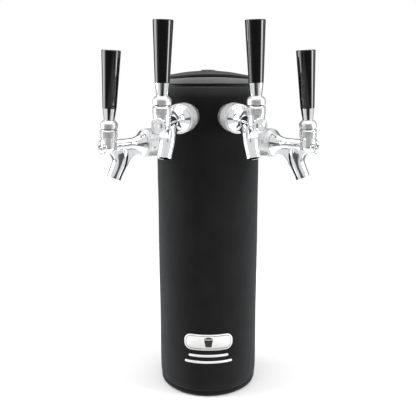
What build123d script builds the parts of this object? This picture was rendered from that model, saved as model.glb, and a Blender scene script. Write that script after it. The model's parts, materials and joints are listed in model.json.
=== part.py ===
"""Four-tap beer tower: steel column in a neoprene sleeve, with four lever taps.

Millimetres, +Z up. The origin is the centre of the base's underside and the
taps fan out around the front, which faces -Y.
"""
from build123d import *
from math import cos, radians, sin
import os

os.makedirs("parts", exist_ok=True)

# Column
TUBE_R = 57.5
TUBE_WALL = 1.5
SLEEVE_THICK = 8.0
SLEEVE_R = TUBE_R + SLEEVE_THICK
GASKET_THICK = 1.0
FLANGE_THICK = 3.0
FLANGE_R = 62.0
COLUMN_FOOT = GASKET_THICK + FLANGE_THICK
SLEEVE_SKIRT_R = FLANGE_R + 0.2
SLEEVE_FOOT_ROUND = 2.0
SLEEVE_TOP = 408.0
TUBE_TOP = 405.0
LID_HEIGHT = 10.0
LID_CROWN = 2.0
LID_EDGE_R = 4.0
SEAM_TAPE_THICK = 0.5
SEAM_TAPE_HEIGHT = 3.0
CAP_GAP = 0.2
CAP_WALL = 2.0
LINE_PASSAGE_R = 32.0
SPIGOT_HEIGHT = 6.0
SPIGOT_WALL = 3.0
BOLT_CIRCLE_R = 45.0
BOLT_HOLE_R = 3.5
BOLT_COUNT = 4

# Where the taps stand: angle from the front, and height of the tap's axis
INNER_AZIMUTH = 22.06
OUTER_AZIMUTH = 58.8
INNER_HEIGHT = 371.7
OUTER_HEIGHT = 337.0

# Shank, measured outwards from the column's axis
SHANK_R = 11.1
SHANK_BORE_R = 3.5
SHANK_END = 38.0
SHANK_COLLAR_R = 14.5
SHANK_COLLAR = (61.0, 64.5)
SHANK_NOSE_R = 13.6
SHANK_NOSE = (78.6, 81.2)
SHANK_HOLE_GAP = 0.2
LOCK_NUT = (46.0, 53.0)
LOCK_NUT_FLATS = 28.0
SADDLE_R = 15.0
TAIL_STEM_R = 4.75
TAIL_BORE_R = 3.2
TAIL_END = 18.0
TAIL_FLANGE_R = 8.0
TAIL_FLANGE_THICK = 2.0

# Coupling nut
NUT_R = 17.2
NUT = (76.0, 93.6)
NUT_LIP_THICK = 2.5
NUT_GROOVE = (NUT[1] - 3.2, NUT[1] - 2.2)
NUT_GROOVE_DEPTH = 0.5
THREAD_R = 14.3
SPANNER_HOLE_R = 1.4
SPANNER_HOLE_AT = 85.6
SPANNER_HOLES = 6
SPANNER_HOLE_DEPTH = 2.0

# Faucet body, measured outwards from the column's axis
BODY_REAR = SHANK_NOSE[1] + 1.0
BARREL_AT = 138.0
BARREL_R = 9.4
BARREL_TOP = 11.4
BARREL_NECK_R = 8.6
BARREL_NECK_TOP = 15.5
NECK_R = 7.4
STUB_R = 7.2
STUB_FACE = 148.8
STUB_FLANGE_R = 8.6
STUB_BOSS_R = 5.4
STUB_FLANGE_THICK = 3.4
CHAMBER_R = 7.0
SEAT_AT = 96.0
FLOW_BORE_R = 4.6
GUIDE_START = 131.0
GUIDE_END = 146.6
BELL_MOUTH_R = 15.4
BELL_REAR = NUT[1] + 0.1
BELL_END = 111.0
STUB_WAIST = 142.0
STUB_DISH_DEPTH = 1.2
STUB_RIM_WIDTH = 1.5
WEB_HALF = 5.4
WEB_EDGE_R = 1.8
FINGER_SLOT = (129.6, 140.9)
FINGER_SLOT_TOP = 8.6
FINGER_SLOT_GAP = 0.3

# Spout: centre and forward tilt of its mouth, in reach and height from the tap's axis
MOUTH_REACH = 133.1
MOUTH_HEIGHT = -39.0
MOUTH_TILT = 24.0
MOUTH_R = 8.4
MOUTH_BORE_R = 6.8
MOUTH_BORE_LENGTH = 11.0

# Lever and handle, measured from the pivot at the ball's centre
PIVOT_HEIGHT = 14.0
LEVER_LEAN = 4.0
BALL_R = 7.0
BALL_FIT = 0.06
STEM_R = 2.9
STEM_THREAD_R = 4.7
STEM_TOP = 27.0
FINGER_LENGTH = 15.2
FINGER_R = 1.2
FINGER_BALL_R = 1.6
COLLAR_FOOT = 7.7
COLLAR_R = 10.3
COLLAR_INNER_R = 9.1
COLLAR_CEILING = 11.2
COLLAR_BAND_TOP = 12.4
COLLAR_TOP = 17.4
FERRULE_FOOT_R = 6.3
FERRULE_TOP_R = 8.15
FERRULE_TOP = 31.3
HANDLE_FOOT_R = 8.3
HANDLE_TOP_R = 11.3
HANDLE_TOP = 98.1
STUD_R = 4.0
STUD_LENGTH = 18.0

# Bonnet, measured up from the tap's axis
BONNET_R = 10.5
BONNET_BEVEL_FOOT = 18.9
BONNET_TOP = 20.2
BONNET_LAND_R = 9.2
BONNET_RIM_R = 8.6
BONNET_RIM_TOP = 20.9
BONNET_OPENING_R = 7.6
RING_TOP = PIVOT_HEIGHT + 3.4
KNURLS = 56
KNURL_DEPTH = 0.35

# Plunger shaft
SHAFT_R = 3.0
SHAFT_FIT = 0.05
SHAFT_REAR = 91.2
SHAFT_FRONT = 145.2
WASHER_R = 6.0
WASHER_THICK = 3.0
SLOT_SIDE = 1.95
SLOT_FRONT = 3.0
SLOT_STEP = 0.9


class Tap:
    """The place of one tap, as the planes and axes that its pieces are drawn on."""

    def __init__(self, name, azimuth, height):
        outward = Vector(sin(radians(azimuth)), -cos(radians(azimuth)), 0)
        lateral = outward.cross(Vector(0, 0, 1))
        self.name = name
        self.outward = outward
        # side: x outwards, y up; axial: z outwards, x up; upright: z up, x outwards
        self.side = Plane(origin=(0, 0, height), x_dir=outward, z_dir=lateral)
        self.axial = Plane(origin=(0, 0, height), x_dir=(0, 0, 1), z_dir=outward)
        barrel = self.side.from_local_coords((BARREL_AT, 0, 0))
        self.upright = Plane(origin=barrel, x_dir=outward, z_dir=(0, 0, 1))
        pivot = self.side.from_local_coords((BARREL_AT, PIVOT_HEIGHT, 0))
        self.pivot = pivot
        lean = radians(LEVER_LEAN)
        self.lever = Plane(origin=pivot, z_dir=lateral,
                           x_dir=outward * cos(lean) + Vector(0, 0, 1) * sin(lean))
        self.axis = Axis((0, 0, height), outward)
        self.barrel_axis = Axis(barrel, (0, 0, 1))
        self.lever_axis = Axis(pivot, self.lever.y_dir)


TAPS = [
    Tap("outer_left", -OUTER_AZIMUTH, OUTER_HEIGHT),
    Tap("inner_left", -INNER_AZIMUTH, INNER_HEIGHT),
    Tap("inner_right", INNER_AZIMUTH, INNER_HEIGHT),
    Tap("outer_right", OUTER_AZIMUTH, OUTER_HEIGHT),
]


def save(piece, node):
    """Label a finished piece and write it as one STEP file."""
    piece.part.label = node
    export_step(piece.part, f"parts/{node}.step")


def outline(*points):
    """A closed straight-edged face at its own coordinates in the current sketch."""
    Polygon(*points, align=None)


# Column ---------------------------------------------------------------------

with BuildPart() as gasket:
    with BuildSketch():
        Circle(FLANGE_R - 1)
        Circle(LINE_PASSAGE_R, mode=Mode.SUBTRACT)
        with PolarLocations(BOLT_CIRCLE_R, BOLT_COUNT, start_angle=45):
            Circle(BOLT_HOLE_R, mode=Mode.SUBTRACT)
    extrude(amount=GASKET_THICK)
save(gasket, "base_gasket")

with BuildPart() as flange:
    with BuildSketch(Plane.XY.offset(GASKET_THICK)):
        Circle(FLANGE_R)
    extrude(amount=FLANGE_THICK)
    fillet(flange.edges().group_by(Axis.Z)[-1], 0.8)
    with BuildSketch(Plane.XY.offset(COLUMN_FOOT)):
        Circle(TUBE_R - TUBE_WALL)
        Circle(TUBE_R - TUBE_WALL - SPIGOT_WALL, mode=Mode.SUBTRACT)
    extrude(amount=SPIGOT_HEIGHT)
    with BuildSketch(Plane.XY.offset(GASKET_THICK)):
        Circle(LINE_PASSAGE_R)
        with PolarLocations(BOLT_CIRCLE_R, BOLT_COUNT, start_angle=45):
            Circle(BOLT_HOLE_R)
    extrude(amount=FLANGE_THICK, mode=Mode.SUBTRACT)
save(flange, "base_flange")

with BuildPart() as tube:
    with BuildSketch(Plane.XY.offset(COLUMN_FOOT)):
        Circle(TUBE_R)
        Circle(TUBE_R - TUBE_WALL, mode=Mode.SUBTRACT)
    extrude(amount=TUBE_TOP - COLUMN_FOOT)
    for tap in TAPS:
        with BuildSketch(tap.axial.offset(LOCK_NUT[0])):
            Circle(SHANK_R + SHANK_HOLE_GAP)
        extrude(amount=SLEEVE_R - LOCK_NUT[0], mode=Mode.SUBTRACT)
save(tube, "tower_tube")

with BuildPart() as cap:
    with BuildSketch(Plane.XY.offset(TUBE_TOP)):
        Circle(TUBE_R)
    extrude(amount=SLEEVE_TOP - TUBE_TOP)
    with BuildSketch(Plane.XY.offset(TUBE_TOP)):
        Circle(TUBE_R - TUBE_WALL - CAP_GAP)
        Circle(TUBE_R - TUBE_WALL - CAP_GAP - CAP_WALL, mode=Mode.SUBTRACT)
    extrude(amount=-SPIGOT_HEIGHT)
save(cap, "tube_cap")

with BuildPart() as sleeve:
    with BuildSketch(Plane.XY.offset(GASKET_THICK)):
        Circle(SLEEVE_R)
    extrude(amount=SLEEVE_TOP - GASKET_THICK)
    fillet(sleeve.edges().group_by(Axis.Z)[0], SLEEVE_FOOT_ROUND)
    with BuildSketch(Plane.XY.offset(GASKET_THICK)):
        Circle(TUBE_R)
    extrude(amount=SLEEVE_TOP - GASKET_THICK, mode=Mode.SUBTRACT)
    with BuildSketch(Plane.XY.offset(GASKET_THICK)):
        Circle(SLEEVE_SKIRT_R)
    extrude(amount=FLANGE_THICK, mode=Mode.SUBTRACT)
    for tap in TAPS:
        with BuildSketch(tap.axial.offset(LOCK_NUT[0])):
            Circle(SHANK_COLLAR_R + SHANK_HOLE_GAP)
        extrude(amount=SLEEVE_R + 5 - LOCK_NUT[0], mode=Mode.SUBTRACT)
save(sleeve, "neoprene_sleeve")

with BuildPart() as lid:
    with BuildSketch(Plane.XZ):
        with BuildLine():
            foot = Line((0, SLEEVE_TOP), (SLEEVE_R, SLEEVE_TOP))
            shoulder = Line(foot @ 1, (SLEEVE_R, SLEEVE_TOP + LID_HEIGHT - LID_EDGE_R))
            edge = RadiusArc(shoulder @ 1, (SLEEVE_R - LID_EDGE_R, SLEEVE_TOP + LID_HEIGHT), -LID_EDGE_R)
            crown = Spline(edge @ 1, (0, SLEEVE_TOP + LID_HEIGHT + LID_CROWN),
                           tangents=[(-1, 0.06), (-1, 0)])
            Line(crown @ 1, foot @ 0)
        make_face()
    revolve(axis=Axis.Z)
save(lid, "sleeve_lid")

with BuildPart() as seam:
    with BuildSketch(Plane.XY.offset(SLEEVE_TOP - SEAM_TAPE_HEIGHT / 2)):
        Circle(SLEEVE_R + SEAM_TAPE_THICK)
        Circle(SLEEVE_R, mode=Mode.SUBTRACT)
    extrude(amount=SEAM_TAPE_HEIGHT)
save(seam, "lid_seam_tape")


# Pieces of one kind that hold the four shanks --------------------------------

with BuildPart() as outer_saddles:
    for tap in TAPS:
        with BuildSketch(tap.axial.offset(LOCK_NUT[1])):
            Circle(SHANK_COLLAR_R)
            Circle(SHANK_R, mode=Mode.SUBTRACT)
        extrude(amount=SHANK_COLLAR[0] - LOCK_NUT[1])
    with Locations((0, 0, SLEEVE_TOP / 2)):
        Cylinder(TUBE_R, SLEEVE_TOP, mode=Mode.SUBTRACT)
save(outer_saddles, "outer_saddle_washers")

with BuildPart() as inner_saddles:
    for tap in TAPS:
        with BuildSketch(tap.axial.offset(LOCK_NUT[1])):
            Circle(SADDLE_R)
            Circle(SHANK_R, mode=Mode.SUBTRACT)
        extrude(amount=TUBE_R - LOCK_NUT[1])
    with Locations((0, 0, SLEEVE_TOP / 2)):
        Cylinder(TUBE_R - TUBE_WALL, SLEEVE_TOP, mode=Mode.INTERSECT)
save(inner_saddles, "inner_saddle_washers")

with BuildPart() as lock_nuts:
    for tap in TAPS:
        with BuildSketch(tap.axial.offset(LOCK_NUT[0])):
            RegularPolygon(LOCK_NUT_FLATS / 2, 6, major_radius=False, rotation=30)
            Circle(SHANK_R, mode=Mode.SUBTRACT)
        extrude(amount=LOCK_NUT[1] - LOCK_NUT[0])
save(lock_nuts, "shank_lock_nuts")

with BuildPart() as tails:
    for tap in TAPS:
        with BuildSketch(tap.axial.offset(TAIL_END)):
            Circle(TAIL_STEM_R)
        extrude(amount=SHANK_END - TAIL_END)
        with BuildSketch(tap.axial.offset(SHANK_END - TAIL_FLANGE_THICK)):
            Circle(TAIL_FLANGE_R)
        extrude(amount=TAIL_FLANGE_THICK)
        with BuildSketch(tap.axial.offset(TAIL_END)):
            Circle(TAIL_BORE_R)
        extrude(amount=SHANK_END - TAIL_END, mode=Mode.SUBTRACT)
save(tails, "shank_tails")

with BuildPart() as coupling_washers:
    for tap in TAPS:
        with BuildSketch(tap.axial.offset(SHANK_NOSE[1])):
            Circle(SHANK_NOSE_R)
            Circle(CHAMBER_R, mode=Mode.SUBTRACT)
        extrude(amount=BODY_REAR - SHANK_NOSE[1])
save(coupling_washers, "coupling_washers")


# Pieces of one tap ------------------------------------------------------------

def make_shank(tap):
    """Threaded tube through the column, with its collar and its captive nose."""
    nose_rear, nose_front = SHANK_NOSE
    collar_rear, collar_front = SHANK_COLLAR
    with BuildPart() as shank:
        with BuildSketch(tap.side):
            outline(
                (SHANK_END, 0), (SHANK_END, SHANK_R), (collar_rear, SHANK_R),
                (collar_rear, SHANK_COLLAR_R), (collar_front, SHANK_COLLAR_R),
                (collar_front, SHANK_R), (nose_rear, SHANK_R), (nose_rear, SHANK_NOSE_R),
                (nose_front, SHANK_NOSE_R), (nose_front, 0),
            )
        revolve(axis=tap.axis)
        with BuildSketch(tap.side):
            outline(
                (SHANK_END, 0), (SHANK_END, SHANK_BORE_R), (nose_front - 5, SHANK_BORE_R),
                (nose_front, CHAMBER_R), (nose_front, 0),
            )
        revolve(axis=tap.axis, mode=Mode.SUBTRACT)
    return shank


def make_nut(tap):
    """Coupling nut with a captive rear lip and spanner holes."""
    rear, front = NUT
    groove_rear, groove_front = NUT_GROOVE
    lip = rear + NUT_LIP_THICK
    with BuildPart(tap.axial.offset(SPANNER_HOLE_AT)) as nut:
        with BuildSketch(tap.side):
            outline(
                (rear, SHANK_R + SHANK_HOLE_GAP), (rear, NUT_R - 1), (rear + 1, NUT_R),
                (groove_rear, NUT_R), (groove_rear + 0.3, NUT_R - NUT_GROOVE_DEPTH),
                (groove_front - 0.3, NUT_R - NUT_GROOVE_DEPTH), (groove_front, NUT_R),
                (front - 0.8, NUT_R), (front, NUT_R - 0.8),
                (front, THREAD_R + 0.3), (front - 0.3, THREAD_R), (lip, THREAD_R),
                (lip, SHANK_R + SHANK_HOLE_GAP),
            )
        revolve(axis=tap.axis)
        with PolarLocations(NUT_R, SPANNER_HOLES, start_angle=18):
            Cylinder(SPANNER_HOLE_R, 2 * SPANNER_HOLE_DEPTH, rotation=(0, 90, 0), mode=Mode.SUBTRACT)
    return nut


def spout_plane(tap, reach, height, tilt):
    """Plane across the spout: its normal runs down the spout, tilted forward."""
    flow = tap.outward * sin(radians(tilt)) - Vector(0, 0, 1) * cos(radians(tilt))
    return Plane(origin=tap.side.from_local_coords((reach, height, 0)),
                 x_dir=tap.side.z_dir, z_dir=flow)


# Spout stations above the mouth's straight bore:
# reach, height, forward tilt, outer radius, passage radius
BORE_START = (
    MOUTH_REACH - MOUTH_BORE_LENGTH * sin(radians(MOUTH_TILT)),
    MOUTH_HEIGHT + MOUTH_BORE_LENGTH * cos(radians(MOUTH_TILT)),
    MOUTH_TILT,
)
SPOUT = [
    (121.8, -1.0, 4.0, 7.2, 4.2),
    (122.6, -11.0, 9.0, 8.9, 5.8),
    (124.6, -20.0, 16.0, 9.1, 6.5),
    (*BORE_START, 8.7, MOUTH_BORE_R),
]


def make_web(tap):
    """Flat web under the neck that flows into the back and the front of the spout."""
    with BuildPart() as web:
        with BuildSketch(tap.side):
            with BuildLine():
                rear = Line((BELL_REAR, 0), (BELL_REAR, 1 - THREAD_R))
                back = Spline(rear @ 1, (101.0, -12.5), (107.0, -12.8), (111.8, -16.6), (117.0, -25.5),
                              tangents=[(1, 0.3), (1, -2.2)])
                across = Line(back @ 1, (133.2, -20.0))
                front = Spline(across @ 1, (134.4, -13.0), (BARREL_AT + 1, 1 - BARREL_R),
                               tangents=[(-0.1, 1), (1, 0.35)])
                Polyline(front @ 1, (BARREL_AT + 1, 0), rear @ 0)
            make_face()
        extrude(amount=WEB_HALF, both=True)
        fillet(web.edges().filter_by(GeomType.BSPLINE), WEB_EDGE_R)
    return web


def make_body(tap):
    """Faucet body: threaded bell, neck, barrel, front stub and swept spout."""
    stub_rear = STUB_FACE - STUB_FLANGE_THICK
    stub_dish = STUB_FACE - STUB_DISH_DEPTH
    with BuildPart() as body:
        with BuildSketch(tap.side):
            with BuildLine():
                rear = Polyline((GUIDE_START, 0), (BODY_REAR, 0), (BODY_REAR, THREAD_R - 0.8),
                                (BODY_REAR + 0.8, THREAD_R), (BELL_REAR, THREAD_R),
                                (BELL_REAR, BELL_MOUTH_R - 0.2), (BELL_REAR + 0.8, BELL_MOUTH_R))
                bell = Spline(rear @ 1, (BELL_REAR + 5.5, NECK_R + 3.5), (BELL_END - 7.5, NECK_R + 1.3),
                              (BELL_END, NECK_R), tangents=[(1, -0.9), (1, -0.05)])
                Polyline(bell @ 1, (GUIDE_START, NECK_R), (GUIDE_START, 0))
            make_face()
        revolve(axis=tap.axis)
        with BuildSketch(tap.side):
            outline(
                (BARREL_AT, 0), (BARREL_AT, STUB_R - 0.6), (STUB_WAIST, STUB_R - 0.9),
                (stub_rear, STUB_R), (stub_rear, STUB_FLANGE_R - 0.5), (stub_rear + 0.5, STUB_FLANGE_R),
                (STUB_FACE - 0.6, STUB_FLANGE_R), (STUB_FACE, STUB_FLANGE_R - 0.6),
                (STUB_FACE, STUB_FLANGE_R - STUB_RIM_WIDTH),
                (stub_dish, STUB_FLANGE_R - STUB_RIM_WIDTH - 0.5), (stub_dish, STUB_BOSS_R),
                (STUB_FACE - 0.5, STUB_BOSS_R - 0.5),
                (STUB_FACE - 0.1, STUB_BOSS_R - 2.0), (STUB_FACE - 0.1, 0.9), (STUB_FACE - 0.6, 0),
            )
        revolve(axis=tap.axis)
        # upright barrel under the bonnet
        with BuildSketch(tap.upright):
            Circle(BARREL_R)
        extrude(amount=BARREL_TOP)
        with BuildSketch(tap.upright.offset(BARREL_TOP)):
            Circle(BARREL_NECK_R)
        extrude(amount=BARREL_NECK_TOP - BARREL_TOP)
        # rounded lower end of the barrel
        with Locations(tap.upright):
            Sphere(BARREL_R - 0.6)
        add(make_web(tap).part)
        for reach, height, tilt, outer, _ in SPOUT:
            with BuildSketch(spout_plane(tap, reach, height, tilt)):
                Circle(outer)
        mouth = spout_plane(tap, MOUTH_REACH, MOUTH_HEIGHT, MOUTH_TILT)
        with BuildSketch(mouth):
            Circle(MOUTH_R)
        loft()
        # chamber, flow bore, and guide for the shaft
        with BuildSketch(tap.side):
            outline(
                (BODY_REAR, 0), (BODY_REAR, CHAMBER_R), (SEAT_AT, CHAMBER_R),
                (SEAT_AT, FLOW_BORE_R), (GUIDE_START, FLOW_BORE_R),
                (GUIDE_START, SHAFT_R + SHAFT_FIT), (GUIDE_END, SHAFT_R + SHAFT_FIT),
                (GUIDE_END, 0),
            )
        revolve(axis=tap.axis, mode=Mode.SUBTRACT)
        # passage down the spout, straight over its last stretch
        for reach, height, tilt, _, passage in SPOUT:
            with BuildSketch(spout_plane(tap, reach, height, tilt)):
                Circle(passage)
        loft(mode=Mode.SUBTRACT)
        with BuildSketch(mouth):
            Circle(MOUTH_BORE_R)
        extrude(amount=-MOUTH_BORE_LENGTH, mode=Mode.SUBTRACT)
        # ball socket, and the slot that the lever's finger swings in
        with BuildSketch(tap.side):
            with BuildLine():
                socket_r = BALL_R + BALL_FIT
                floor = JernArc((BARREL_AT, PIVOT_HEIGHT - socket_r), (1, 0), socket_r, 90)
                Polyline(floor @ 1, (BARREL_AT + socket_r, BARREL_NECK_TOP),
                         (BARREL_AT, BARREL_NECK_TOP), floor @ 0)
            make_face()
        revolve(axis=tap.barrel_axis, mode=Mode.SUBTRACT)
        with BuildSketch(tap.side):
            rear, front = FINGER_SLOT
            outline((rear, 0), (front, 0), (front, FINGER_SLOT_TOP), (rear, FINGER_SLOT_TOP))
        extrude(amount=FINGER_BALL_R + FINGER_SLOT_GAP, both=True, mode=Mode.SUBTRACT)
    return body


def make_bonnet(tap):
    """Knurled bonnet that holds the ball down, with a bevelled open top."""
    with BuildPart() as bonnet:
        with BuildSketch(tap.upright.offset(BARREL_TOP)):
            Circle(BONNET_R)
            with PolarLocations(BONNET_R + 0.05, KNURLS):
                RegularPolygon(KNURL_DEPTH, 4, mode=Mode.SUBTRACT)
        extrude(amount=BONNET_RIM_TOP - BARREL_TOP)
        with BuildSketch(tap.side):
            outline(
                (BARREL_AT + BONNET_R + 1, BONNET_BEVEL_FOOT),
                (BARREL_AT + BONNET_R, BONNET_BEVEL_FOOT),
                (BARREL_AT + BONNET_LAND_R, BONNET_TOP), (BARREL_AT + BONNET_RIM_R, BONNET_TOP),
                (BARREL_AT + BONNET_RIM_R - 0.3, BONNET_RIM_TOP + 1),
                (BARREL_AT + BONNET_R + 1, BONNET_RIM_TOP + 1),
            )
        revolve(axis=tap.barrel_axis, mode=Mode.SUBTRACT)
        with BuildSketch(tap.upright.offset(BARREL_TOP)):
            Circle(BARREL_NECK_R)
        extrude(amount=RING_TOP - BARREL_TOP, mode=Mode.SUBTRACT)
        with BuildSketch(tap.upright.offset(RING_TOP)):
            Circle(BONNET_OPENING_R)
        extrude(amount=BONNET_RIM_TOP - RING_TOP, mode=Mode.SUBTRACT)
    return bonnet


def make_friction_ring(tap):
    """Ring with a hollow face that bears on the top of the ball."""
    with BuildPart() as ring:
        with BuildSketch(tap.upright.offset(BARREL_NECK_TOP)):
            Circle(BARREL_NECK_R)
        extrude(amount=RING_TOP - BARREL_NECK_TOP)
        with Locations(tap.pivot):
            Sphere(BALL_R + BALL_FIT, mode=Mode.SUBTRACT)
    return ring


def make_lever(tap):
    """Ball lever: threaded stem above, finger with a ball end below."""
    with BuildPart() as lever:
        with BuildSketch(tap.lever):
            outline(
                (0, -FINGER_LENGTH), (FINGER_R, -FINGER_LENGTH), (FINGER_R, -BALL_R + 0.5),
                (STEM_R, 0), (STEM_R, COLLAR_CEILING), (STEM_THREAD_R, COLLAR_CEILING),
                (STEM_THREAD_R, STEM_TOP), (0, STEM_TOP),
            )
        revolve(axis=tap.lever_axis)
        with Locations(tap.pivot):
            Sphere(BALL_R)
        with Locations(tap.lever.from_local_coords((0, -FINGER_LENGTH, 0))):
            Sphere(FINGER_BALL_R)
    return lever


def make_collar(tap):
    """Domed collar, hollow underneath so that it swings over the bonnet."""
    with BuildPart() as collar:
        with BuildSketch(tap.lever):
            with BuildLine():
                skirt = Polyline(
                    (STEM_THREAD_R, COLLAR_CEILING), (COLLAR_INNER_R, COLLAR_CEILING),
                    (COLLAR_INNER_R, COLLAR_FOOT), (COLLAR_R - 0.4, COLLAR_FOOT),
                    (COLLAR_R, COLLAR_FOOT + 0.4), (COLLAR_R, COLLAR_BAND_TOP),
                )
                dome = Spline(skirt @ 1, (COLLAR_R - 1.6, COLLAR_BAND_TOP + 3.1),
                              (FERRULE_FOOT_R, COLLAR_TOP), tangents=[(0, 1), (-1, 0.35)])
                Polyline(dome @ 1, (STEM_THREAD_R, COLLAR_TOP), skirt @ 0)
            make_face()
        revolve(axis=tap.lever_axis)
    return collar


def make_ferrule(tap):
    """Flared ferrule between the collar and the handle, with the handle's stud."""
    with BuildPart() as ferrule:
        with BuildSketch(tap.lever):
            outline(
                (STEM_THREAD_R, COLLAR_TOP), (FERRULE_FOOT_R - 0.4, COLLAR_TOP),
                (FERRULE_FOOT_R, COLLAR_TOP + 0.4), (FERRULE_TOP_R, FERRULE_TOP),
                (STUD_R, FERRULE_TOP), (STUD_R, FERRULE_TOP + STUD_LENGTH),
                (0, FERRULE_TOP + STUD_LENGTH), (0, STEM_TOP), (STEM_THREAD_R, STEM_TOP),
            )
        revolve(axis=tap.lever_axis)
    return ferrule


def make_handle(tap):
    """Tapered handle, wider at its flat top."""
    with BuildPart() as handle:
        with BuildSketch(tap.lever):
            outline(
                (0, FERRULE_TOP + STUD_LENGTH), (STUD_R, FERRULE_TOP + STUD_LENGTH),
                (STUD_R, FERRULE_TOP), (HANDLE_FOOT_R - 0.5, FERRULE_TOP),
                (HANDLE_FOOT_R, FERRULE_TOP + 0.5), (HANDLE_TOP_R, HANDLE_TOP - 0.9),
                (HANDLE_TOP_R - 0.3, HANDLE_TOP - 0.25), (HANDLE_TOP_R - 1, HANDLE_TOP),
                (0, HANDLE_TOP),
            )
        revolve(axis=tap.lever_axis)
    return handle


def make_shaft(tap):
    """Plunger shaft with the stepped slot that the lever's finger pushes."""
    finger_reach = BARREL_AT + FINGER_LENGTH * sin(radians(LEVER_LEAN))
    with BuildPart() as shaft:
        with BuildSketch(tap.axial.offset(SHAFT_REAR)):
            Circle(SHAFT_R)
        extrude(amount=SHAFT_FRONT - SHAFT_REAR)
        with BuildSketch(tap.side):
            outline(
                (finger_reach - SLOT_SIDE, -SHAFT_R - 1), (finger_reach + SLOT_SIDE, -SHAFT_R - 1),
                (finger_reach + SLOT_SIDE, SLOT_STEP), (finger_reach + SLOT_FRONT, SLOT_STEP),
                (finger_reach + SLOT_FRONT, SHAFT_R + 1), (finger_reach - SLOT_SIDE, SHAFT_R + 1),
            )
        extrude(amount=FINGER_BALL_R + FINGER_SLOT_GAP, both=True, mode=Mode.SUBTRACT)
    return shaft


def make_washer(tap):
    """Rubber washer that seals against the seat from behind."""
    with BuildPart() as washer:
        with BuildSketch(tap.axial.offset(SEAT_AT - WASHER_THICK)):
            Circle(WASHER_R)
            Circle(SHAFT_R, mode=Mode.SUBTRACT)
        extrude(amount=WASHER_THICK)
    return washer


MAKERS = {
    "shank": make_shank,
    "coupling_nut": make_nut,
    "faucet_body": make_body,
    "bonnet": make_bonnet,
    "friction_ring": make_friction_ring,
    "lever": make_lever,
    "lever_collar": make_collar,
    "handle_ferrule": make_ferrule,
    "handle": make_handle,
    "shaft": make_shaft,
    "seat_washer": make_washer,
}

for tap in TAPS:
    for piece_name, make in MAKERS.items():
        save(make(tap), f"{piece_name}_{tap.name}")
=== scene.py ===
"""Looks of the four-tap beer tower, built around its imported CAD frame. Metres, +Z up, front -Y."""
import json
import math

import bmesh
import bpy
from mathutils import Matrix, Vector, noise


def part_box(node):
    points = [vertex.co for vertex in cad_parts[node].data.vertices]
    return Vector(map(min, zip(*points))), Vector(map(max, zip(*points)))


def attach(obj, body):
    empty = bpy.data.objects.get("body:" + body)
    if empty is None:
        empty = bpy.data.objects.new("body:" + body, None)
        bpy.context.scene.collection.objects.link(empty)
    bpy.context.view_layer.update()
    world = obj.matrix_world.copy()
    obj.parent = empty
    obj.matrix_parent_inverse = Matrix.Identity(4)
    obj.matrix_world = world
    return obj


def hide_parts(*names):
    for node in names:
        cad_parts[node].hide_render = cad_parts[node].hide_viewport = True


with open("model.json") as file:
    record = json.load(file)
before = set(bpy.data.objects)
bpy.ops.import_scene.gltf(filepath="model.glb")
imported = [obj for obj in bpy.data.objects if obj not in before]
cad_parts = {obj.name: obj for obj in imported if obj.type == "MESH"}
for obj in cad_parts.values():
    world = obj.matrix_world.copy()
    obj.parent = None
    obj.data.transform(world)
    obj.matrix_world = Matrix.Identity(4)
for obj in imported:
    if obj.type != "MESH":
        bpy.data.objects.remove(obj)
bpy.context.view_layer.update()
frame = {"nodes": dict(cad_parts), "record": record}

MM = 0.001
TAPS = ("outer_left", "inner_left", "inner_right", "outer_right")

sleeve_low, sleeve_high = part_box("neoprene_sleeve")
SLEEVE_R = sleeve_high.x
TUBE_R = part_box("tower_tube")[1].x
SLEEVE_FOOT = sleeve_low.z
SLEEVE_TOP = sleeve_high.z
COLUMN_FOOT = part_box("tower_tube")[0].z
FLANGE_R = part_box("base_flange")[1].x


def tap_line(tap):
    """Outward direction of a tap, and the height of its axis."""
    low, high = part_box("shank_" + tap)
    centre = (low + high) / 2
    return Vector((centre.x, centre.y, 0)).normalized(), centre.z


# Camera ----------------------------------------------------------------------

CAMERA_PITCH = math.radians(15.27)
CAMERA_YAW = math.radians(-0.6)
CAMERA_REACH = 0.9201
CAMERA_HEIGHT = 0.4927
CAMERA_LENS = 62.56
CAMERA_SENSOR = 36
CAMERA_NEAR = 0.01


def make_camera():
    data = bpy.data.cameras.new("camera")
    data.lens = CAMERA_LENS
    data.sensor_width = CAMERA_SENSOR
    data.clip_start = CAMERA_NEAR
    camera = bpy.data.objects.new("camera", data)
    camera.location = (CAMERA_REACH * math.sin(CAMERA_YAW), -CAMERA_REACH * math.cos(CAMERA_YAW),
                       CAMERA_HEIGHT)
    camera.rotation_euler = (math.pi / 2 - CAMERA_PITCH, 0, CAMERA_YAW)
    bpy.context.scene.collection.objects.link(camera)
    bpy.context.scene.camera = camera


make_camera()


# Materials -------------------------------------------------------------------

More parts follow.
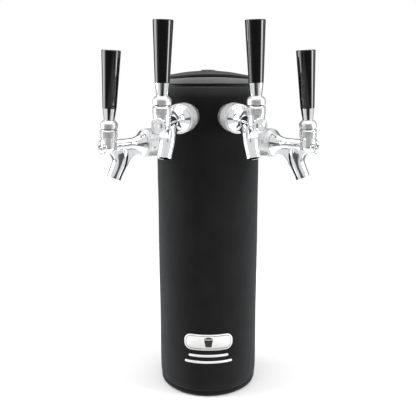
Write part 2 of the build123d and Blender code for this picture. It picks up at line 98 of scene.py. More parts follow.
class Look:
    """A Principled material with short calls for adding and wiring its nodes."""

    def __init__(self, name, **settings):
        self.material = bpy.data.materials.new(name)
        self.material.use_nodes = True
        self.tree = self.material.node_tree
        self.shader = self.tree.nodes["Principled BSDF"]
        for key, value in settings.items():
            self.shader.inputs[key.replace("_", " ")].default_value = value

    def feed(self, socket, value):
        if isinstance(value, bpy.types.NodeSocket):
            self.tree.links.new(value, socket)
        else:
            socket.default_value = value

    def math(self, operation, a, b=0.0):
        made = self.tree.nodes.new("ShaderNodeMath")
        made.operation = operation
        self.feed(made.inputs[0], a)
        self.feed(made.inputs[1], b)
        return made.outputs[0]

    def add(self, *values):
        total = values[0]
        for value in values[1:]:
            total = self.math("ADD", total, value)
        return total

    def times(self, a, b):
        return self.math("MULTIPLY", a, b)

    def place(self):
        """The point in the row frame at rest, in metres; it moves with its piece."""
        return self.tree.nodes.new("ShaderNodeTexCoord").outputs["Object"]

    def split(self):
        made = self.tree.nodes.new("ShaderNodeSeparateXYZ")
        self.tree.links.new(self.place(), made.inputs[0])
        return made.outputs[0], made.outputs[1], made.outputs[2]

    def around(self):
        """Distance round the column from its front, in millimetres, and height."""
        x, y, z = self.split()
        angle = self.math("ARCTAN2", x, self.times(y, -1.0))
        return self.times(angle, SLEEVE_R / MM), self.times(z, 1 / MM)

    def noise(self, scale, detail=3.0, vector=None):
        made = self.tree.nodes.new("ShaderNodeTexNoise")
        self.tree.links.new(vector or self.place(), made.inputs["Vector"])
        made.inputs["Scale"].default_value = scale
        made.inputs["Detail"].default_value = detail
        return made.outputs[0]

    def combine(self, x, y, z):
        made = self.tree.nodes.new("ShaderNodeCombineXYZ")
        for socket, value in zip(made.inputs, (x, y, z)):
            self.feed(socket, value)
        return made.outputs[0]

    def ramp(self, value, low, high, out_low, out_high):
        made = self.tree.nodes.new("ShaderNodeMapRange")
        for key, number in zip((1, 2, 3, 4), (low, high, out_low, out_high)):
            made.inputs[key].default_value = number
        self.tree.links.new(value, made.inputs[0])
        return made.outputs[0]

    def colours(self, value, low, dark, high, light):
        made = self.tree.nodes.new("ShaderNodeValToRGB")
        for element, at, colour in zip(made.color_ramp.elements, (low, high), (dark, light)):
            element.position = at
            element.color = (*colour, 1)
        self.tree.links.new(value, made.inputs[0])
        return made.outputs[0]

    def bump(self, height, strength, distance):
        made = self.tree.nodes.new("ShaderNodeBump")
        made.inputs["Strength"].default_value = strength
        made.inputs["Distance"].default_value = distance
        self.tree.links.new(height, made.inputs["Height"])
        self.wire("Normal", made.outputs[0])

    def wire(self, name, value):
        self.tree.links.new(value, self.shader.inputs[name])


def chrome():
    """Polished chrome: faint polishing waves and a trace of smudging."""
    look = Look("chrome_polished", Base_Color=(0.86, 0.87, 0.88, 1), Metallic=1.0)
    look.wire("Roughness", look.ramp(look.noise(55.0, 4.0), 0.35, 0.75, 0.035, 0.10))
    look.bump(look.noise(160.0, 2.0), 0.05, 0.0004)
    return look.material


LATHE_RINGS = 3500.0


def chrome_turned(name, axis, shade, metallic):
    """Lathe-turned satin chrome: fine rings round the piece's own axis."""
    look = Look(name, Base_Color=(shade, shade, shade * 1.01, 1), Metallic=metallic)
    x, y, z = look.split()
    along = look.add(look.times(x, axis.x), look.times(y, axis.y), look.times(z, axis.z))
    rings = look.noise(1.0, 3.0, look.combine(look.times(along, LATHE_RINGS), 0.0, 0.0))
    look.wire("Roughness", look.ramp(rings, 0.3, 0.7, 0.22, 0.34))
    look.bump(rings, 0.12, 0.0001)
    return look.material


BRUSH_LONG = 60.0
BRUSH_FINE = 4000.0


def steel():
    """Stainless steel brushed around the column."""
    look = Look("steel_brushed", Base_Color=(0.62, 0.62, 0.63, 1), Metallic=1.0)
    x, y, z = look.split()
    stretched = look.combine(look.times(x, BRUSH_LONG), look.times(y, BRUSH_LONG), look.times(z, BRUSH_FINE))
    grain = look.noise(1.0, 2.0, stretched)
    look.wire("Roughness", look.ramp(grain, 0.3, 0.7, 0.22, 0.38))
    look.bump(grain, 0.15, 0.0001)
    return look.material


def handle_black():
    """Gloss black moulded handle with slight moulding ripple and hairline wear."""
    look = Look("handle_gloss_black", Specular_IOR_Level=0.7)
    look.wire("Base Color", look.colours(look.noise(300.0), 0.0, (0.002, 0.002, 0.002),
                                         1.0, (0.004, 0.004, 0.0045)))
    look.wire("Roughness", look.ramp(look.noise(900.0, 4.0), 0.35, 0.8, 0.02, 0.05))
    look.bump(look.noise(90.0, 1.0), 0.02, 0.0003)
    return look.material


KNIT_WALE = 1.1
KNIT_COURSE = 0.8
# Reach in mm and gain of a painted highlight along the sleeve's top edge
TOP_EDGE_HIGHLIGHT_REACH = 15.0
TOP_EDGE_HIGHLIGHT_GAIN = 0.7
PATCH_SCALE = 28.0
PATCH_SHARE = 0.22
KNIT_SHARE = 0.25
FIBRE_SCALE = 2600.0
FIBRE_SHARE = 0.2
DARKEST_TONE = 0.26
KNIT_DEPTH = 0.16 * MM


def knit_height(look, across, along):
    """Height of a jersey knit: columns of V stitches. across and along are in millimetres."""
    column = look.math("FRACT", look.times(across, 1 / KNIT_WALE))
    arm = look.math("ABSOLUTE", look.math("SUBTRACT", column, 0.5))
    rib = look.math("SINE", look.times(arm, 2 * math.pi))
    slant = look.add(look.times(along, 1 / KNIT_COURSE), look.times(arm, 1.6))
    loop = look.math("SINE", look.times(slant, 2 * math.pi))
    return look.times(rib, look.add(look.times(loop, 0.35), 0.65))


def neoprene(name, wrapped, dark, light):
    """Knit-faced neoprene. The knit runs round the column if wrapped, else flat as on the lid."""
    look = Look(name, Specular_IOR_Level=0.08, Sheen_Weight=0.16, Sheen_Roughness=0.5,
                Sheen_Tint=(0.75, 0.77, 0.8, 1))
    if wrapped:
        across, along = look.around()
    else:
        x, y, _ = look.split()
        across, along = look.times(x, 1 / MM), look.times(y, 1 / MM)
    height = knit_height(look, across, along)
    fibre = look.noise(FIBRE_SCALE, 2.0)
    tone = look.add(look.times(look.noise(PATCH_SCALE, 4.0), PATCH_SHARE), look.times(height, KNIT_SHARE),
                    look.times(fibre, FIBRE_SHARE))
    # Painted highlight: when wrapped, the base colour lightens towards the sleeve's top, standing in for
    # light caught by its rounded top edge
    if wrapped:
        top = SLEEVE_TOP / MM
        tone = look.add(tone, look.ramp(along, top - TOP_EDGE_HIGHLIGHT_REACH, top, 0.0, TOP_EDGE_HIGHLIGHT_GAIN))
    look.wire("Base Color", look.colours(tone, DARKEST_TONE, dark, 1.0, light))
    look.wire("Roughness", look.ramp(fibre, 0.3, 0.7, 0.62, 0.82))
    look.bump(look.add(height, look.times(fibre, 0.5)), 0.55, KNIT_DEPTH)
    return look.material


THREAD_TWIST = 9000.0


def thread():
    """Black sewing thread with its twist."""
    look = Look("sewing_thread", Roughness=0.55, Specular_IOR_Level=0.4)
    x, y, z = look.split()
    twist = look.math("SINE", look.times(look.add(x, y, z), THREAD_TWIST))
    look.wire("Base Color", look.colours(look.add(look.times(twist, 0.3), 0.5),
                                         0.2, (0.012, 0.012, 0.012), 0.8, (0.03, 0.03, 0.032)))
    look.bump(twist, 0.6, 0.0001)
    return look.material


def transfer_print(name, dark, light):
    """Slightly worn transfer print that lets the knit show through."""
    look = Look(name, Specular_IOR_Level=0.3)
    height = knit_height(look, *look.around())
    wear = look.noise(900.0, 5.0)
    look.wire("Base Color", look.colours(look.add(look.times(height, 0.12), wear), 0.2, dark, 0.5, light))
    look.wire("Roughness", look.ramp(wear, 0.3, 0.7, 0.45, 0.65))
    look.bump(height, 0.3, 0.0001)
    return look.material


def moulded(name, dark, light, rough_low, rough_high, scale):
    """Moulded plastic or rubber: fine mottling, uneven gloss and a light grain."""
    look = Look(name)
    grain = look.noise(scale, 4.0)
    look.wire("Base Color", look.colours(grain, 0.3, dark, 0.75, light))
    look.wire("Roughness", look.ramp(grain, 0.3, 0.7, rough_low, rough_high))
    look.bump(grain, 0.2, 0.0002)
    return look.material


CHROME = chrome()
STEEL = steel()
HANDLE = handle_black()
NEOPRENE = neoprene("neoprene_knit", True, (0.0015, 0.0015, 0.0017), (0.045, 0.045, 0.047))
NEOPRENE_LID = neoprene("neoprene_knit_lid", False, (0.006, 0.006, 0.0065), (0.030, 0.030, 0.031))
# Painted highlight: a much lighter copy of the black neoprene for the lid's shoulder, standing in for the
# top light falling on it
NEOPRENE_SHOULDER_HIGHLIGHT = neoprene("neoprene_shoulder_painted_highlight", False, (0.12, 0.12, 0.122), (0.36, 0.36, 0.365))
# Painted shade: a near-black copy of the neoprene for the lid's groove and its join with the sleeve, where
# shade falls
NEOPRENE_GROOVE_SHADE = neoprene("neoprene_groove_painted_shade", False, (0.0008, 0.0008, 0.0008), (0.003, 0.003, 0.003))
THREAD = thread()
PRINT_WHITE = transfer_print("print_white", (0.5, 0.5, 0.49), (0.78, 0.78, 0.77))
PRINT_BLACK = transfer_print("print_black", (0.008, 0.008, 0.008), (0.02, 0.02, 0.02))
NYLON = moulded("nylon_natural", (0.55, 0.53, 0.48), (0.72, 0.7, 0.65), 0.35, 0.5, 400.0)
RUBBER = moulded("rubber_black", (0.008, 0.008, 0.008), (0.02, 0.02, 0.02), 0.6, 0.8, 900.0)
FLOOR_PALE = moulded("floor_pale", (0.78, 0.78, 0.78), (0.83, 0.83, 0.83), 0.8, 0.9, 3.0)
PLASTIC = moulded("plastic_black", (0.012, 0.012, 0.012), (0.025, 0.025, 0.025), 0.4, 0.55, 700.0)

SLOT_LOOKS = {
    "chrome_brass": CHROME,
    "stainless": STEEL,
    "gloss_black": HANDLE,
    "black_plastic": PLASTIC,
    "nylon": NYLON,
    "black_rubber": RUBBER,
    "neoprene": NEOPRENE,
}


def dress_cad_nodes():
    slots = {s["node"]: s["material_slot"] for s in frame["record"]["subparts"]}
    for name, node in frame["nodes"].items():
        node.data.materials.clear()
        node.data.materials.append(SLOT_LOOKS[slots[name]])
    upright = chrome_turned("chrome_turned_upright", Vector((0, 0, 1)), 0.66, 0.72)
    for tap in TAPS:
        outward, _ = tap_line(tap)
        nut = frame["nodes"]["coupling_nut_" + tap]
        nut.data.materials[0] = chrome_turned("chrome_turned_" + tap, outward, 0.76, 0.5)
        frame["nodes"]["bonnet_" + tap].data.materials[0] = upright
        frame["nodes"]["lever_collar_" + tap].data.materials[0] = upright


dress_cad_nodes()


# Soft pieces -----------------------------------------------------------------

def finish_piece(mesh, name, material):
    """Make a smooth-shaded object from a bmesh."""
    bmesh.ops.recalc_face_normals(mesh, faces=mesh.faces)
    data = bpy.data.meshes.new(name)
    mesh.to_mesh(data)
    mesh.free()
    for face in data.polygons:
        face.use_smooth = True
    data.materials.append(material)
    piece = bpy.data.objects.new(name, data)
    bpy.context.scene.collection.objects.link(piece)
    return piece


def spin(profile, count, move):
    """A closed mesh from a profile of (radius, height) turned round the column.

    A profile that begins or ends at radius 0 closes on the axis. move(angle, radius,
    height) shifts each ring point; the angle is measured from the front.
    """
    mesh = bmesh.new()
    rings = []
    for radius, height in profile:
        ring = []
        for k in range(count if radius else 1):
            angle = 2 * math.pi * k / count
            r, z = move(angle, radius, height)
            ring.append(mesh.verts.new((r * math.sin(angle), -r * math.cos(angle), z)))
        rings.append(ring)
    pairs = list(zip(rings, rings[1:]))
    if profile[0][0]:
        pairs.append((rings[-1], rings[0]))
    for lower, upper in pairs:
        for k in range(count):
            corners = [lower[k % len(lower)], lower[(k + 1) % len(lower)],
                       upper[(k + 1) % len(upper)], upper[k % len(upper)]]
            mesh.faces.new(list(dict.fromkeys(corners)))
    return mesh


def arc(centre, out, up, start, end, steps):
    """Points of an oval arc in (radius, height): half-sizes out and up, angles in degrees from outwards."""
    points = []
    for k in range(steps + 1):
        a = math.radians(start + (end - start) * k / steps)
        points.append((centre[0] + out * math.cos(a), centre[1] + up * math.sin(a)))
    return points


def rise(angle):
    """How far the front of the soft top stands up, from 0 at the back to 1 at the front."""
    return max(0.0, math.cos(angle)) ** 3


SEAM_DROP = 2.4 * MM
SEAM_GAP = 1.3 * MM
EDGE_R = 2.0 * MM
HEM_HEIGHT = 6.5 * MM
HEM_BULGE = 1.75 * MM
FOOT_ROUND = 10 * MM
SKIRT_R = FLANGE_R + 0.3 * MM
BACK_SEAM_DEPTH = 0.9 * MM
BACK_SEAM_HALF = 1.6 * MM
SPIN_COUNT = 256
SLEEVE_INSET = 0.25 * MM
RIPPLE = 0.35 * MM
FINE_RIPPLE = 0.12 * MM
EDGE_RISE_REACH = 60 * MM
TUBE_GAP = 0.15 * MM
FLOOR_GAP = 0.2 * MM
LEDGE_GAP = 0.5 * MM
BODY_ROWS = 110
FOOT_ROWS = 5


def seam_height(angle):
    return SLEEVE_TOP - SEAM_DROP * (1 - rise(angle))


def sleeve_shift(angle, radius, height):
    """Soft unevenness of the sleeve, and its top edge rising towards the front."""
    reach = max(0.0, 1 - (SLEEVE_TOP - height) / EDGE_RISE_REACH)
    z = height - (SLEEVE_TOP - seam_height(angle)) * reach * reach
    if radius < TUBE_R + 1 * MM:
        return radius, z
    where = Vector((math.sin(angle) * 2.2, -math.cos(angle) * 2.2, z * 14))
    ripple = RIPPLE * noise.noise(where) + FINE_RIPPLE * noise.noise(where * 4.3)
    if radius < SKIRT_R + HEM_BULGE + 0.1 * MM and height < COLUMN_FOOT + HEM_HEIGHT:
        return radius, z
    from_back = (angle - math.pi) * SLEEVE_R / BACK_SEAM_HALF
    return radius - SLEEVE_INSET + ripple - BACK_SEAM_DEPTH * math.exp(-from_back * from_back), z


def make_sleeve():
    """Tube of neoprene with a rolled top edge, a rounded foot and a bulged hem."""
    foot, top = SLEEVE_FOOT + FLOOR_GAP, SLEEVE_TOP - SEAM_GAP
    inner, outer = TUBE_R + TUBE_GAP, SLEEVE_R
    crease = foot + HEM_HEIGHT
    ledge = COLUMN_FOOT + LEDGE_GAP
    profile = [(inner, top - 1 * MM), (inner, ledge), (SKIRT_R, ledge), (SKIRT_R, foot + 1 * MM)]
    profile += arc((SKIRT_R, foot + HEM_HEIGHT / 2), HEM_BULGE, HEM_HEIGHT / 2, -80, 75, 8)
    profile += [(outer - 2.3 * MM, crease + 0.1 * MM), (outer - 1.7 * MM, crease + 0.9 * MM)]
    for k in range(1, FOOT_ROWS + 1):
        t = k / FOOT_ROWS
        profile.append((outer - 1.5 * MM * (1 - t) ** 2, crease + 1 * MM + FOOT_ROUND * t))
    low, high = crease + 1 * MM + FOOT_ROUND, top - EDGE_R
    profile += [(outer, low + (high - low) * k / BODY_ROWS) for k in range(1, BODY_ROWS + 1)]
    profile += arc((outer - EDGE_R, top - EDGE_R), EDGE_R, EDGE_R, 15, 90, 4)
    profile += [(inner + 1 * MM, top)]
    return finish_piece(spin(profile, SPIN_COUNT, sleeve_shift), "sleeve_neoprene", NEOPRENE)


def apply_modifiers(piece):
    """Bake the modifiers of a piece into its own mesh."""
    graph = bpy.context.evaluated_depsgraph_get()
    baked = bpy.data.meshes.new_from_object(piece.evaluated_get(graph))
    piece.modifiers.clear()
    old = piece.data
    piece.data = baked
    bpy.data.meshes.remove(old)


HOLE_GAP = 0.3 * MM
CUTTER_LENGTH = 40 * MM


def cut_shank_holes(piece):
    """Punch the four shank holes through the sleeve."""
    for tap in TAPS:
        outward, height = tap_line(tap)
        low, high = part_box("shank_" + tap)
        bpy.ops.mesh.primitive_cylinder_add(vertices=64, radius=(high.z - low.z) / 2 + HOLE_GAP,
                                            depth=CUTTER_LENGTH)
        cutter = bpy.context.object
        cutter.matrix_world = (Matrix.Translation(outward * SLEEVE_R + Vector((0, 0, height)))
                               @ outward.to_track_quat("Z", "Y").to_matrix().to_4x4())
        hole = piece.modifiers.new("hole", "BOOLEAN")
        hole.operation = "DIFFERENCE"
        hole.solver = "EXACT"
        hole.object = cutter
        apply_modifiers(piece)
        bpy.data.objects.remove(cutter)


LID_FLAT = 415 * MM
LID_BACK = 411 * MM
LID_CENTRE = 419.5 * MM
LID_FRONT_RISE = 9.8 * MM
LID_BEVEL = 4.6 * MM
LID_R = SLEEVE_R - 0.6 * MM
CREST_R = LID_R - LID_BEVEL
SHOULDER_ROWS = 6
SHOULDER_BULGE = 0.4 * MM
GROOVE_DEPTH = 1.9 * MM
GROOVE_WIDTH = 2.2 * MM
OVERLAP_LEFT = -8.5 * MM
OVERLAP_RIGHT = 9 * MM
OVERLAP_START = 4 * MM
OVERLAP_RISE = 1.1 * MM
OVERLAP_SOFTNESS = (0.5 * MM, 1.6 * MM, 1.2 * MM)
LID_GAP = 0.2 * MM
HIGHLIGHT_FACE, SHADE_FACE = 1, 2
LID_RIPPLE = 0.35 * MM
LID_RINGS = 30


def step_up(distance, softness):
    """0 well before an edge and 1 well past it."""
    return 1 / (1 + math.exp(-max(-30.0, min(30.0, distance / softness))))


def overlap_height(x, y):
    """The sewn overlap, a low strip that runs from the crown to the back edge."""
    left, right, end = OVERLAP_SOFTNESS
    sides = step_up(x - OVERLAP_LEFT, left) * step_up(OVERLAP_RIGHT - x, right)
    return OVERLAP_RISE * sides * step_up(y - OVERLAP_START, end)


def lid_shift(angle, radius, height):
    """The lid's foot follows the sleeve's edge, its crest stands up at the front, and its top is crowned."""
    share = min(1.0, radius / CREST_R)
    seam = seam_height(angle)
    crest = LID_BACK + LID_FRONT_RISE * ((1 + math.cos(angle)) / 2) ** 3.2
    overlap = overlap_height(radius * math.sin(angle), -radius * math.cos(angle))
    top = crest * share ** 2 + LID_CENTRE * (1 - share ** 2) + overlap
    where = Vector((radius * math.sin(angle) * 45, -radius * math.cos(angle) * 45, height * 30))
    ripple = LID_RIPPLE * noise.noise(where)
    t = (height - SLEEVE_TOP) / (LID_FLAT - SLEEVE_TOP)
    return radius * (1 + 0.004 * noise.noise(where * 0.6)), seam + (top - seam) * t + ripple


def make_lid():
    """Soft lid with a bevelled shoulder, and a sewn groove where the shoulder meets the top."""
    foot = SLEEVE_TOP + LID_GAP
    profile = [(0, foot), (LID_R * 0.5, foot), (LID_R - 4 * MM, foot)]
    profile += arc((LID_R - EDGE_R, foot + 0.6 * EDGE_R), EDGE_R, 0.6 * EDGE_R, -90, 20, 5)
    low_r, low_z = profile[-1]
    high_z = LID_FLAT - GROOVE_DEPTH
    for k in range(1, SHOULDER_ROWS + 1):
        t = k / SHOULDER_ROWS
        bulge = SHOULDER_BULGE * math.sin(math.pi * t)
        profile.append((low_r + (CREST_R - low_r) * t + bulge, low_z + (high_z - low_z) * t + bulge))
    groove_z = high_z - 0.5 * GROOVE_DEPTH
    profile += [(CREST_R - 0.3 * GROOVE_WIDTH, groove_z), (CREST_R - 0.7 * GROOVE_WIDTH, groove_z),
                (CREST_R - 0.9 * GROOVE_WIDTH, LID_FLAT - 0.5 * GROOVE_DEPTH)]
    start = CREST_R - 1.4 * GROOVE_WIDTH
    profile += [(start * (1 - k / LID_RINGS), LID_FLAT) for k in range(LID_RINGS)]
    profile.append((0, LID_FLAT))
    piece = finish_piece(spin(profile, SPIN_COUNT, lid_shift), "lid_neoprene", NEOPRENE_LID)
    piece.data.materials.append(NEOPRENE_SHOULDER_HIGHLIGHT)
    piece.data.materials.append(NEOPRENE_GROOVE_SHADE)
    for face in piece.data.polygons:
        reach = face.center.xy.length
        # Up-facing shoulder faces take the painted highlight; the steep and lower faces, and the groove,
        # take the painted shade
        if reach > CREST_R + 0.1 * MM:
            face.material_index = HIGHLIGHT_FACE if face.normal.z > 0.1 else SHADE_FACE
        elif reach > CREST_R - 0.95 * GROOVE_WIDTH and face.center.z > SLEEVE_TOP:
            face.material_index = SHADE_FACE
    return piece


THREAD_SIZE = 0.5 * MM
STITCH_RINGS = 5
STITCH_SIDES = 6
RING_STITCH_LENGTH = 2.2 * MM
RING_STITCH_COUNT = 132
CROSS_STITCH_LENGTH = 3.4 * MM
CROSS_STITCH_SLANT = 0.5
BACK_STITCH_PITCH = 3.2 * MM
BACK_STITCH_DEPTH = 0.55 * MM


def stitches(name, places, length):
    """Short raised threads. places gives each stitch's centre, run direction and outward normal."""
    mesh = bmesh.new()
    for centre, run, normal in places:
        side = run.cross(normal).normalized()
        rings = []
        for k in range(STITCH_RINGS):
            t = k / (STITCH_RINGS - 1) - 0.5
            crown = math.cos(math.pi * t)
            core = centre + run * (length * t) + normal * (THREAD_SIZE * 0.7 * crown)
            swell = THREAD_SIZE / 2 * (0.55 + 0.45 * crown)
            ring = []
            for m in range(STITCH_SIDES):
                a = 2 * math.pi * m / STITCH_SIDES
                rim = side * (swell * math.cos(a)) + normal * (swell * math.sin(a))
                ring.append(mesh.verts.new(core + rim))
            rings.append(ring)
        for lower, upper in zip(rings, rings[1:]):
            for k in range(STITCH_SIDES):
                after = (k + 1) % STITCH_SIDES
                mesh.faces.new((lower[k], lower[after], upper[after], upper[k]))
        mesh.faces.new(rings[0])
        mesh.faces.new(rings[-1])
    return finish_piece(mesh, name, THREAD)


def ring_of_stitches(name, radius, height_at):
    """Stitches end to end round the column."""
    places = []
    for k in range(RING_STITCH_COUNT):
        angle = 2 * math.pi * k / RING_STITCH_COUNT
        normal = Vector((math.sin(angle), -math.cos(angle), 0))
        run = Vector((math.cos(angle), math.sin(angle), 0)).normalized()
        places.append((normal * radius + Vector((0, 0, height_at(angle))), run, normal))
    return stitches(name, places, RING_STITCH_LENGTH)


def back_seam_stitches():
    """Slanted stitches that cross the sleeve's vertical back seam."""
    normal = Vector((0, 1, 0))
    low, high = SLEEVE_FOOT + 2 * HEM_HEIGHT, SLEEVE_TOP - 2 * HEM_HEIGHT
    count = round((high - low) / BACK_STITCH_PITCH)
    places = []
    for k in range(count + 1):
        centre = Vector((0, SLEEVE_R - BACK_STITCH_DEPTH, low + (high - low) * k / count))
        slant = CROSS_STITCH_SLANT if k % 2 else -CROSS_STITCH_SLANT
        places.append((centre, Vector((1, 0, slant)).normalized(), normal))
    return stitches("back_seam_stitches", places, CROSS_STITCH_LENGTH)


sleeve = make_sleeve()
cut_shank_holes(sleeve)
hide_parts("neoprene_sleeve")

lid = make_lid()
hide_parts("sleeve_lid", "lid_seam_tape")

SEAM_STITCH_DROP = 3.2 * MM
HEM_STITCH_RISE = 3 * MM
seam_stitches = ring_of_stitches("seam_stitches", SLEEVE_R - 0.3 * MM,
                                 lambda angle: seam_height(angle) - SEAM_STITCH_DROP)
hem_stitches = ring_of_stitches("hem_stitches", SLEEVE_R - 1.1 * MM,
                                lambda angle: SLEEVE_FOOT + HEM_HEIGHT + HEM_STITCH_RISE)
back_stitches = back_seam_stitches()


# Printed mark ------------------------------------------------------------------

PRINT_LIFT = 0.25 * MM
PRINT_THICK = 0.1 * MM


def bend_to_sleeve(flat_points, lift):
    """Wrap flat (across, height) points onto the sleeve's front, lifted just proud of it."""
    radius = SLEEVE_R + lift
    return [Vector((radius * math.sin(x / radius), -radius * math.cos(x / radius), z))
            for x, z in flat_points]


def printed_strip(name, left_edge, right_edge, material, lift=PRINT_LIFT):
    """A printed shape as a strip between two edges of equal point count."""
    mesh = bmesh.new()
    left = [mesh.verts.new(p) for p in bend_to_sleeve(left_edge, lift)]
    right = [mesh.verts.new(p) for p in bend_to_sleeve(right_edge, lift)]
    for k in range(len(left) - 1):
        mesh.faces.new((left[k], right[k], right[k + 1], left[k + 1]))
    bmesh.ops.remove_doubles(mesh, verts=mesh.verts, dist=0.001 * MM)
    piece = finish_piece(mesh, name, material)
    skin = piece.modifiers.new("thickness", "SOLIDIFY")
    skin.thickness = PRINT_THICK
    apply_modifiers(piece)
    return piece


def rounded_edges(z, width, height, corner):
    """Lower and upper edges, left to right, of a rectangle with rounded corners."""
    low, high = [], []
    for k in range(MARK_STEPS + 1):
        t = -math.cos(math.pi * k / MARK_STEPS)
        from_end = (1 - abs(t)) * width / 2
        inset = max(0.0, corner - from_end)
        half = height / 2 - corner + math.sqrt(max(0.0, corner * corner - inset * inset))
        half = max(half, 0.02 * MM)
        low.append((t * width / 2, z - half))
        high.append((t * width / 2, z + half))
    return low, high


def printed_block(name, z, width, height, corner, material):
    """A printed rectangle with rounded corners, centred on the sleeve's front."""
    return printed_strip(name, *rounded_edges(z, width, height, corner), material)


def printed_border(name, z, width, height, corner):
    """A thin dark line just inside a rounded rectangle."""
    loops = []
    for inset in (BORDER_INSET, BORDER_INSET + BORDER_WIDTH):
        low, high = rounded_edges(z, width - 2 * inset, height - 2 * inset, corner - inset)
        loops.append(low + high[::-1] + low[:1])
    return printed_strip(name, *loops, PRINT_BLACK, ICON_LIFT)


MARK_STEPS = 48
BORDER_INSET = 1.9 * MM
BORDER_WIDTH = 0.55 * MM
GLASS_TOP = 5.6 * MM
GLASS_FOOT = 3.9 * MM
GLASS_HEIGHT = 10.0 * MM
FOAM_HEIGHT = 2.8 * MM
ICON_GAP = 0.9 * MM
ICON_STEPS = 12
ICON_LIFT = PRINT_LIFT + 1.5 * PRINT_THICK


def glass_icon(z):
    """A plain tumbler of beer: a tapered glass and a rounded head of foam above it."""
    low, join = z - GLASS_HEIGHT / 2 - FOAM_HEIGHT / 2, z + GLASS_HEIGHT / 2 - FOAM_HEIGHT / 2
    shares = [2 * k / ICON_STEPS - 1 for k in range(ICON_STEPS + 1)]
    glass = printed_strip("mark_glass", [(GLASS_FOOT * t, low) for t in shares],
                          [(GLASS_TOP * t, join) for t in shares], PRINT_BLACK, ICON_LIFT)
    foot = join + ICON_GAP
    foam = printed_strip("mark_foam", [(GLASS_TOP * t, foot) for t in shares],
                         [(GLASS_TOP * t, foot + FOAM_HEIGHT * (1 - 0.8 * t * t)) for t in shares],
                         PRINT_BLACK, ICON_LIFT)
    return glass, foam


# Height on the sleeve, width, height and corner radius
PANEL = (79 * MM, 65 * MM, 22 * MM, 9.5 * MM)
LINE_UPPER = (60 * MM, 53 * MM, 3.4 * MM, 1.7 * MM)
LINE_LOWER = (51 * MM, 64 * MM, 3.4 * MM, 1.7 * MM)
mark = [
    printed_block("mark_panel", *PANEL, PRINT_WHITE),
    printed_border("mark_border", *PANEL),
    printed_block("mark_line_upper", *LINE_UPPER, PRINT_WHITE),
    printed_block("mark_line_lower", *LINE_LOWER, PRINT_WHITE),
    *glass_icon(PANEL[0]),
]

for piece in (sleeve, lid, seam_stitches, hem_stitches, back_stitches, *mark):
    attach(piece, "tower")


# Floor, light and background ------------------------------------------------------

FLOOR_R = 0.6
FLOOR_SIDES = 96


def make_floor():
    """A round pale floor. It ends in front of the tower, so that chrome also mirrors the dark front."""
    mesh = bmesh.new()
    bmesh.ops.create_circle(mesh, cap_ends=True, segments=FLOOR_SIDES, radius=FLOOR_R)
    floor = finish_piece(mesh, "floor", FLOOR_PALE)


def area_light(name, place, target, size, radiance):
    """A one-sided softbox that lights and mirrors, but isn't seen itself."""
    data = bpy.data.lights.new(name, "AREA")
    data.shape = "RECTANGLE"
    data.size, data.size_y = size
    data.energy = radiance * math.pi * size[0] * size[1]
    light = bpy.data.objects.new(name, data)
    light.location = place
    aim = Vector(target) - Vector(place)
    light.rotation_euler = aim.to_track_quat("-Z", "Y").to_euler()
    light.visible_camera = False
    bpy.context.scene.collection.objects.link(light)


TENT = 0.82
FRONT_EDGE = (0.66, 0.92)
FRONT_STOPS = ((0.29, 0.60), (0.325, 0.01), (0.375, 0.01), (0.394, 0.41), (0.60, 0.75))
BELT_EDGE = (0.42, 0.56)
BELT_LEVEL = (0.10, 0.15)
BELT_SHADE = 0.16
BACK_EDGE = (0.35, 0.75)
BACK_SHADE = 0.24


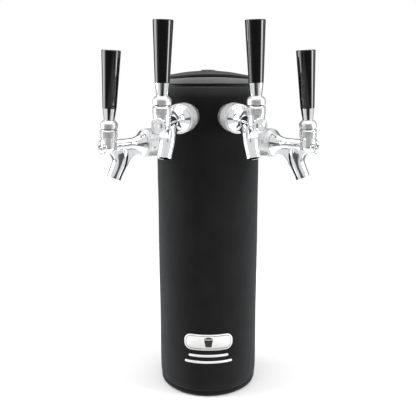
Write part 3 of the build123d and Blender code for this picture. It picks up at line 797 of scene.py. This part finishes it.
def make_world():
    """A white tent, dark low in front and grey straight behind, around a plain white background."""
    world = bpy.data.worlds.new("studio")
    world.use_nodes = True
    tree = world.node_tree

    def node(kind, *links):
        made = tree.nodes.new("ShaderNode" + kind)
        for socket, value in links:
            if isinstance(value, bpy.types.NodeSocket):
                tree.links.new(value, made.inputs[socket])
            else:
                made.inputs[socket].default_value = value
        return made

    def ease(value, low, high, out_low=0.0, out_high=1.0):
        made = node("MapRange", (0, value), (1, low), (2, high), (3, out_low), (4, out_high))
        made.interpolation_type = "SMOOTHSTEP"
        return made.outputs[0]

    def times(a, b):
        made = node("Math", (0, a), (1, b))
        made.operation = "MULTIPLY"
        return made.outputs[0]

    split = node("SeparateXYZ", (0, node("TexCoord").outputs["Generated"]))
    ahead, up = split.outputs[1], split.outputs[2]
    front = node("ValToRGB", (0, node("MapRange", (0, up), (1, -1.0), (2, 1.0)).outputs[0]))
    for _ in FRONT_STOPS[2:]:
        front.color_ramp.elements.new(0.5)
    for element, (at, shade) in zip(front.color_ramp.elements, FRONT_STOPS):
        element.position = at
        element.color = (shade, shade, shade, 1)
    is_front = ease(ahead, -FRONT_EDGE[0], -FRONT_EDGE[1])
    tent = node("Mix", (0, is_front), (2, TENT), (3, front.outputs[0]))
    height = node("Math", (0, up))
    height.operation = "ABSOLUTE"
    in_belt = times(ease(ahead, -BELT_EDGE[0], -BELT_EDGE[1]),
                    ease(height.outputs[0], BELT_LEVEL[1], BELT_LEVEL[0]))
    belt = node("MapRange", (0, in_belt), (3, 1.0), (4, BELT_SHADE)).outputs[0]
    shade = times(times(tent.outputs[0], belt), ease(ahead, BACK_EDGE[0], BACK_EDGE[1], 1.0, BACK_SHADE))
    lit = node("Background", ("Color", (1, 1, 1, 1)), ("Strength", shade))
    seen = node("Background", ("Color", (1, 1, 1, 1)))
    pick = node("MixShader", (0, node("LightPath").outputs["Is Camera Ray"]),
                (1, lit.outputs[0]), (2, seen.outputs[0]))
    tree.links.new(pick.outputs[0], tree.nodes["World Output"].inputs["Surface"])
    bpy.context.scene.world = world
    bpy.context.scene.view_settings.view_transform = "Standard"


make_floor()
make_world()
TAP_LEVEL = (0, 0, 0.38)
BOX_REACH = 1.35
BOX_HEIGHT = 0.75
BOX_TALL = 1.3
LEFT_BOX = (-92, 1.0, 5.0)
RIGHT_BOX = (75, 0.52, 9.0)
TOP_BOX_AT = (0, 0.1, 2.0)
TOP_BOX_SIZE = (2.0, 2.0)
TOP_BOX_RADIANCE = 1.7


def side_box(name, azimuth, width, radiance):
    """A tall softbox beside the tower, its azimuth in degrees from the front."""
    a = math.radians(azimuth)
    place = (BOX_REACH * math.sin(a), -BOX_REACH * math.cos(a), BOX_HEIGHT)
    area_light(name, place, TAP_LEVEL, (width, BOX_TALL), radiance)


side_box("box_left", *LEFT_BOX)
side_box("box_right", *RIGHT_BOX)
area_light("box_top", TOP_BOX_AT, TAP_LEVEL, TOP_BOX_SIZE, TOP_BOX_RADIANCE)
